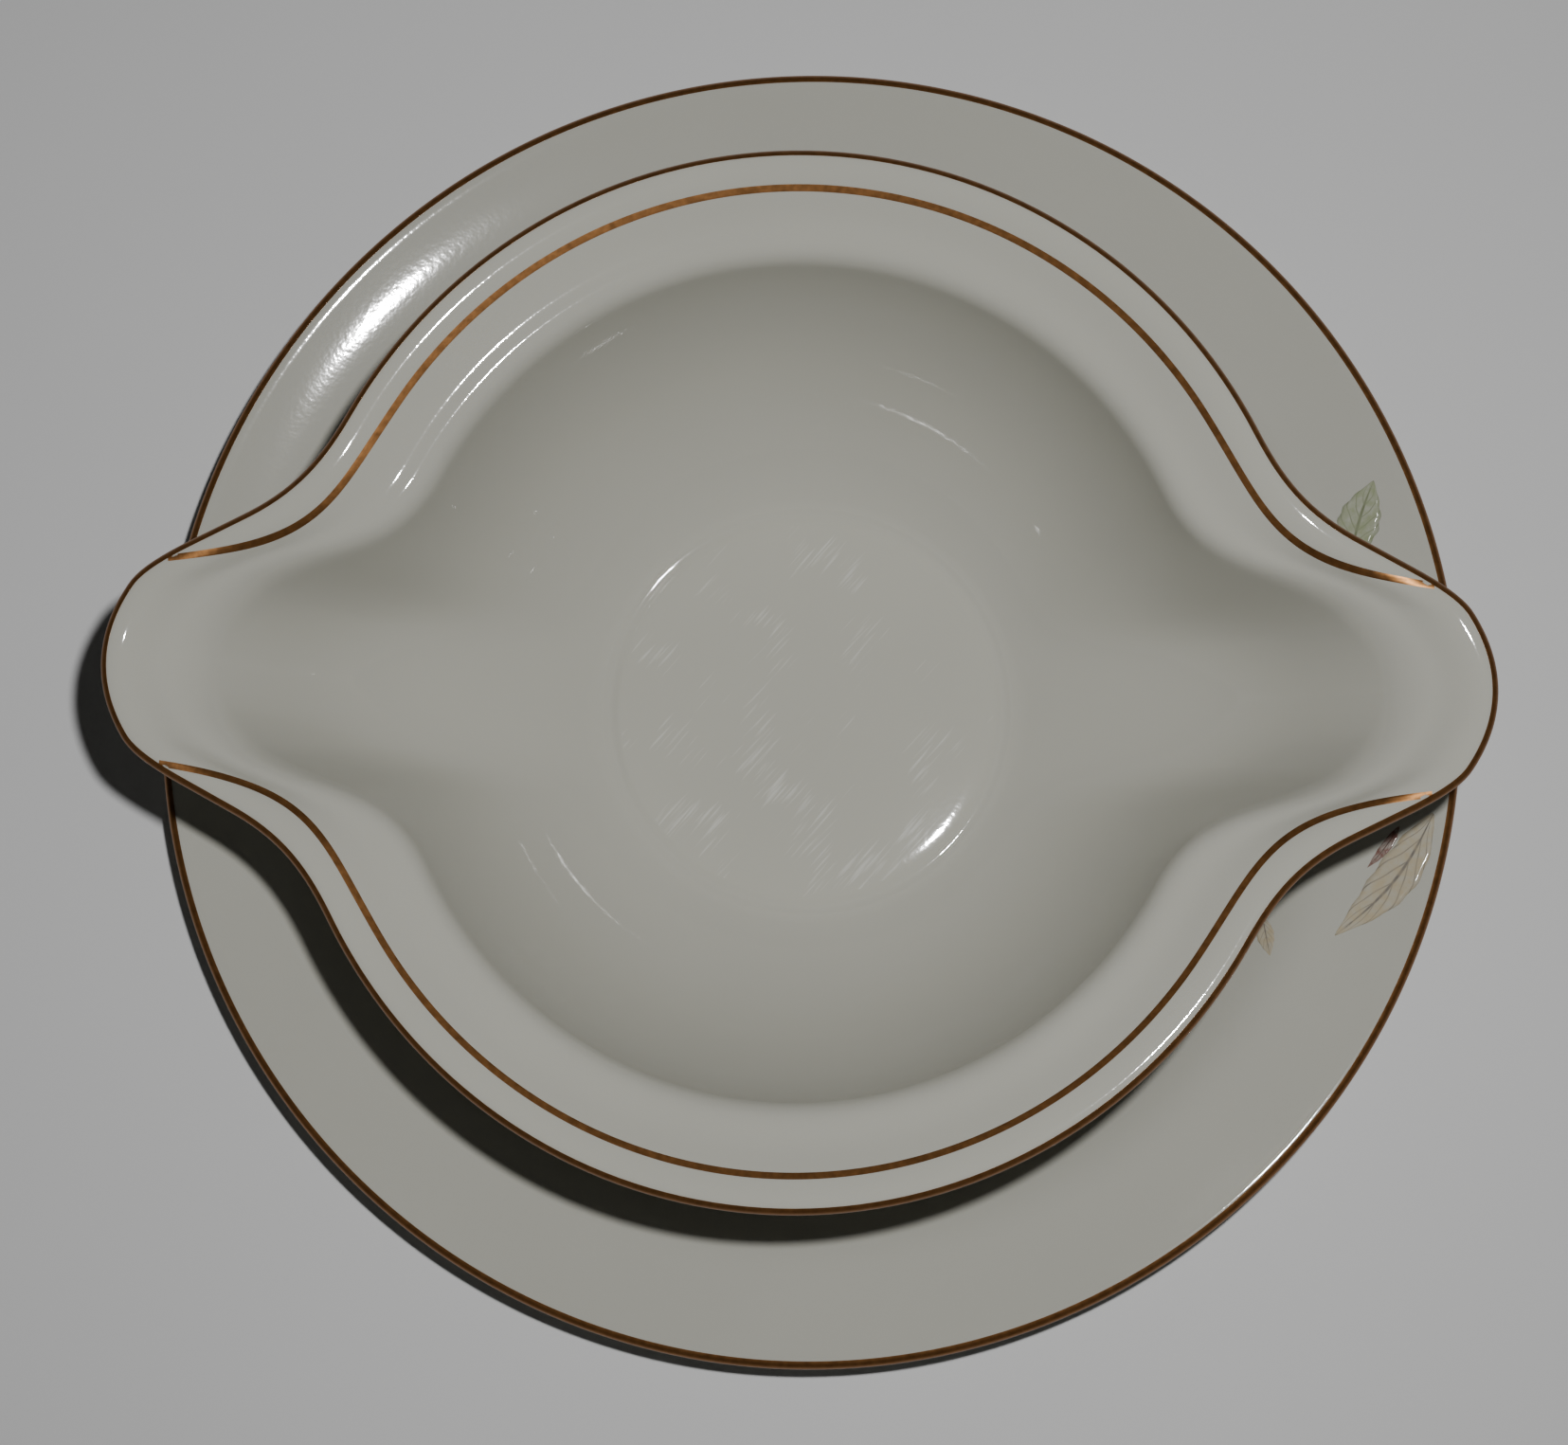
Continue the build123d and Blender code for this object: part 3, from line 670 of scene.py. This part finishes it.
class MakeUnderplate(bpy.types.Operator):
    """Builds the underplate's porcelain in place of its CAD node"""
    bl_idname = "gravy_boat.underplate"
    bl_label = "Underplate"

    def execute(self, context):
        rows = [plate_circle(radius, z) for radius, z in plate_profile()]
        points, faces = closed_shell(rows, [(0, 0, rows[0][0][2])], [(0, 0, rows[-1][0][2])])
        piece = new_piece("underplate_porcelain", points, faces, glazed_porcelain(), "stand",
                          "porcelain", "underplate")
        outward_facing(piece)
        piece.data.materials.append(biscuit_tread())
        for face in piece.data.polygons:
            face.material_index = int(face.center.z < 0.05 * MM)
        return {"FINISHED"}


# ---------------------------------------------------------------- gilding
FILM_OVER, FILM_UNDER = 0.05 * MM, -0.15 * MM


LINE_OVER = 0.05 * MM         # over the porcelain, enough to clear it where the lip turns


def line_plan(turns):
    """The inner gold line seen from above."""
    return outward(turns) * line_radius(turns)[:, None]


def line_start(gold):
    """Where the line runs into the gold of the edge, at the corner of a spout."""
    outline = edge_points(np.linspace(0, pi / 4, 2000), 0)[0]
    low, high = radians(6), radians(20)
    for _ in range(30):
        middle = (low + high) / 2
        turn = np.array([middle])
        gap = np.linalg.norm(outline - line_plan(turn), axis=1).min()
        clear = gap > gold and line_radius(turn)[0] < edge_radius(turn)[0]
        low, high = (low, middle) if clear else (middle, high)
    return high


def ribbon(shell, gold):
    """Points and faces of the gold line on the +Y side, a thin closed strip laid on the boat."""
    skin = BVHTree.FromPolygons([v.co for v in shell.vertices],
                                [face.vertices[:] for face in shell.polygons])

    def lay(plan):
        return np.array([skin.ray_cast((x, y, 1), (0, 0, -1))[0] for x, y, _ in plan])

    start = line_start(gold)
    plan = line_plan(start + (pi - 2 * start) * np.linspace(0, 1, 400))
    aside = unit(np.cross(UP, np.gradient(plan, axis=0)))
    aside *= bpy.context.scene.gravy_gilt.line_width / 2
    laid = [lay(plan + aside * side) for side in np.linspace(-1, 1, 7)]
    corners = [row + UP * LINE_OVER for row in laid] + [row + UP * FILM_UNDER
                                                        for row in laid[::-1]]
    count, around = len(plan), len(corners)
    faces = []
    for k in range(around):
        after = (k + 1) % around
        faces += [(k * count + i, k * count + i + 1, after * count + i + 1, after * count + i)
                  for i in range(count - 1)]
    faces.append(tuple(k * count for k in range(around)))
    faces.append(tuple(k * count + count - 1 for k in reversed(range(around))))
    return np.vstack(corners), faces


class MakeGilding(bpy.types.Operator):
    """Builds the gold on both edges and the two inner lines of the boat's lip"""
    bl_idname = "gravy_boat.gilding"
    bl_label = "Gilding"

    def execute(self, context):
        gold, gilt = burnished_gold(), context.scene.gravy_gilt
        half_wall = context.scene.gravy_boat.wall / 2

        def section(start):
            angles = np.degrees(np.linspace(start, gilt.edge_to, 9))
            return ([(angle, FILM_OVER) for angle in angles]
                    + [(angle, FILM_UNDER) for angle in angles[::-1]])

        rows = [full_turn(nose_points(TURNS, angle, half_wall + lift))
                for angle, lift in section(gilt.edge_from)]
        outward_facing(new_piece("boat_edge_gold", *closed_hoop(rows), gold, "boat", "gilding",
                                 "boat_edge_gilding"), crisp=True)
        rows = [plate_circle(*edge_mark(angle, EDGE_RADIUS + lift))
                for angle, lift in section(gilt.plate_edge_from)]
        outward_facing(new_piece("underplate_edge_gold", *closed_hoop(rows), gold, "stand",
                                 "gilding", "underplate_edge_gilding"), crisp=True)
        points, faces = ribbon(context.scene.objects["sauce_boat_shell"].data,
                               half_wall * (1 - sin(gilt.edge_from)))
        for side, turn_over in (("back", (1, 1, 1)), ("front", (1, -1, 1))):
            outward_facing(new_piece(f"lip_line_gold_{side}", points * turn_over, faces, gold,
                                     "boat", "gilding", f"lip_line_gilding_{side}"), crisp=True)
        return {"FINISHED"}


# ---------------------------------------------------------------- leaf spray on the underplate
LEAF_TURN = 1.5               # degrees, swings the whole spray round the underplate
LEAF_LIFT, LEAF_SINK = 0.04 * MM, 0.08 * MM


def leaf_grid(base, tip, left, right, bow=0.0, steps=28, across=8):
    """Points, faces and UVs of a pointed leaf lying on the rim. Its ends are (inset from the
    plate's edge, turn in degrees), and left, right and bow are in millimetres."""
    ends = []
    for inset, turn in (base, tip):
        turn = radians(turn + LEAF_TURN)
        ends.append(np.array([cos(turn), sin(turn)]) * (PLATE_RADIUS - inset * MM))
    along = ends[1] - ends[0]
    square = np.array([-along[1], along[0]]) / np.linalg.norm(along)
    top, uvs = [], []
    for u in np.linspace(0.01, 0.99, steps):
        spine = ends[0] + along * u + square * bow * MM * sin(pi * u)
        wide = sin(pi * u ** 0.868) * (1 + 0.05 * sin(34 * u))
        for v in np.linspace(-1, 1, across + 1):
            x, y = spine + square * v * wide * (left if v > 0 else right) * MM
            top.append((x, y, float(plate_top(np.hypot(x, y)))))
            uvs.append((u, (v + 1) / 2))
    columns, count = across + 1, len(top)
    faces = []
    for i in range(steps - 1):
        for j in range(across):
            a = i * columns + j
            quad = (a, a + 1, a + columns + 1, a + columns)
            faces += [quad, tuple(count + k for k in reversed(quad))]
    rim = ([i * columns for i in range(steps)]
           + [(steps - 1) * columns + j for j in range(1, columns)]
           + [i * columns + across for i in range(steps - 2, -1, -1)]
           + [j for j in range(across - 1, 0, -1)])
    for a, b in zip(rim, rim[1:] + rim[:1]):
        faces.append((a, b, count + b, count + a))
    top = np.array(top)
    return np.vstack([top + (0, 0, LEAF_LIFT), top - (0, 0, LEAF_SINK)]), faces, uvs * 2


def leaf_piece(name, leaves, material, slot, node):
    """One piece from several leaves."""
    points, faces, uvs = [], [], []
    for places, quads, marks in (leaf_grid(*leaf) for leaf in leaves):
        faces += [tuple(len(points) + k for k in quad) for quad in quads]
        points += list(places)
        uvs += marks
    piece = new_piece(name, points, faces, material, "stand", slot, node)
    layer = piece.data.uv_layers.new(name="leaf")
    for loop in piece.data.loops:
        layer.data[loop.index].uv = uvs[loop.vertex_index]
    return outward_facing(piece)


class MakeLeafSpray(bpy.types.Operator):
    """Builds the leaves and bud of the transfer on the underplate's rim"""
    bl_idname = "gravy_boat.leaf_spray"
    bl_label = "Leaf spray"

    def execute(self, context):
        leaf_piece("leaf_green", [((14.0, 15.8), (6.2, 22.2), 3.4, 3.4, 0.4)],
                   leaf_transfer("Enamel transfer, green", "green", "green_vein"),
                   "transfer_green", "leaf_transfer_green")
        leaf_piece("leaves_ochre", [((3.4, -9.3), (13.5, -23.2), 3.2, 3.6, 2.0),
                                    ((25.2, -24.0), (21.4, -27.8), 1.3, 1.5)],
                   leaf_transfer("Enamel transfer, ochre", "ochre", "ochre_vein"),
                   "transfer_ochre", "leaf_transfer_ochre")
        leaf_piece("bud_russet", [((8.4, -11.0), (12.0, -15.7), 0.9, 0.8, 0.3)],
                   leaf_transfer("Enamel transfer, russet", "russet", "russet_vein"),
                   "transfer_russet", "leaf_transfer_russet")
        return {"FINISHED"}


# ---------------------------------------------------------------- stage
# The camera looks almost straight down, its own up turned a little from +Y.
VIEW_TURN = 1.6               # degrees about Z, camera against spouts
CAMERA_TILT, CAMERA_TURN = 5.97, -66.3
CAMERA_DISTANCE = 0.6
LOOK_AT = Vector((-3.75, -1.87, 18.6)) * MM
LAMP_OFFSET = Vector((36, 44, 0)) * MM       # small key lamp, from the camera
LAMP_SIZE = 16 * MM


def aim(obj, place, target, up):
    """Puts a lamp or camera at a place, looking at a target."""
    back = (place - target).normalized()
    right = up.cross(back).normalized()
    obj.matrix_world = Matrix.Translation(place) @ Matrix((right, back.cross(right), back)) \
        .transposed().to_4x4()


def area_lamp(name, place, target, size, power, colour="#FFFFFF"):
    data = bpy.data.lights.new(name, "AREA")
    data.shape = "DISK"
    data.size = size
    data.energy = power
    data.color = linear(colour)[:3]
    lamp = bpy.data.objects.new(name, data)
    bpy.context.scene.collection.objects.link(lamp)
    aim(lamp, place, target, Vector((0, 1, 0.01)))
    return lamp


def table_laminate():
    """Pale matt table laminate: a broad, faint cloud in its tone, and a rough finish that takes the
    shine away.
    """
    material, tree = new_material("Table laminate, matt")
    place = add(tree, "ShaderNodeTexCoord", {}).outputs["Object"]
    cloud = add(tree, "ShaderNodeTexNoise", {"Scale": 1 / (60 * MM), "Detail": 4.0},
                {"Vector": place}).outputs["Fac"]
    base = linear(bpy.context.scene.gravy_stage.floor)
    tone = add(tree, "ShaderNodeMixRGB", {"Color1": [c * 0.97 for c in base[:3]] + [1],
                                          "Color2": base}, {"Fac": cloud})
    shader = add(tree, "ShaderNodeBsdfPrincipled", {"Roughness": 0.6},
                 {"Base Color": tone.outputs["Color"]})
    return finish_material(material, tree, shader)


class MakeStage(bpy.types.Operator):
    """Builds the floor, the lamps and the camera"""
    bl_idname = "gravy_boat.stage"
    bl_label = "Stage"

    def execute(self, context):
        scene, stage = context.scene, context.scene.gravy_stage
        mesh = bpy.data.meshes.new("floor")
        reach = 3.0
        mesh.from_pydata([(-reach, -reach, 0), (reach, -reach, 0), (reach, reach, 0),
                          (-reach, reach, 0)], [], [(0, 1, 2, 3)])
        mesh.materials.append(table_laminate())
        floor = bpy.data.objects.new("floor", mesh)
        scene.collection.objects.link(floor)

        spin = Matrix.Rotation(radians(VIEW_TURN), 3, "Z")
        tilt, turn = radians(CAMERA_TILT), radians(CAMERA_TURN)
        direction = Vector((sin(tilt) * cos(turn), sin(tilt) * sin(turn), cos(tilt)))
        look_at = spin @ LOOK_AT
        place = look_at + spin @ direction * CAMERA_DISTANCE
        data = bpy.data.cameras.new("camera")
        data.lens = stage.focal_length
        data.sensor_width = 36.0
        camera = bpy.data.objects.new("camera", data)
        scene.collection.objects.link(camera)
        aim(camera, place, look_at, spin @ Vector((0, 1, 0)))
        scene.camera = camera

        area_lamp("key", place + spin @ LAMP_OFFSET, look_at, LAMP_SIZE, stage.key_power)
        world = bpy.data.worlds.new("room")
        world.use_nodes = True
        background = world.node_tree.nodes["Background"]
        background.inputs["Color"].default_value = linear("#FFFFFF")
        background.inputs["Strength"].default_value = stage.room_light
        scene.world = world
        return {"FINISHED"}


class GravyBoatPanel(bpy.types.Panel):
    """Lists the pieces and their settings"""
    bl_idname = "VIEW3D_PT_gravy_boat"
    bl_label = "Gravy boat"
    bl_space_type = "VIEW_3D"
    bl_region_type = "UI"
    bl_category = "Gravy boat"

    def draw(self, context):
        for settings in GROUPS:
            group = getattr(context.scene, settings)
            box = self.layout.box()
            for name in group.__annotations__:
                box.prop(group, name)
        for operator in OPERATORS:
            self.layout.operator(operator.bl_idname)


OPERATORS = (MakeStage, MakeUnderplate, MakeSauceBoat, MakeGilding, MakeLeafSpray)
GROUPS = {"gravy_boat": BoatSettings, "gravy_plate": PlateSettings, "gravy_gilt": GiltSettings,
          "gravy_finish": FinishSettings, "gravy_stage": StageSettings}


def register():
    for cls in (*GROUPS.values(), *OPERATORS, GravyBoatPanel):
        bpy.utils.register_class(cls)
    for name, group in GROUPS.items():
        setattr(bpy.types.Scene, name, bpy.props.PointerProperty(type=group))


def unregister():
    for name in GROUPS:
        delattr(bpy.types.Scene, name)
    for cls in (*GROUPS.values(), *OPERATORS, GravyBoatPanel):
        bpy.utils.unregister_class(cls)


def main():
    register()
    bpy.ops.gravy_boat.stage()
    bpy.ops.gravy_boat.underplate()
    bpy.ops.gravy_boat.sauce_boat()
    bpy.ops.gravy_boat.gilding()
    bpy.ops.gravy_boat.leaf_spray()


if __name__ == "__main__":
    main()
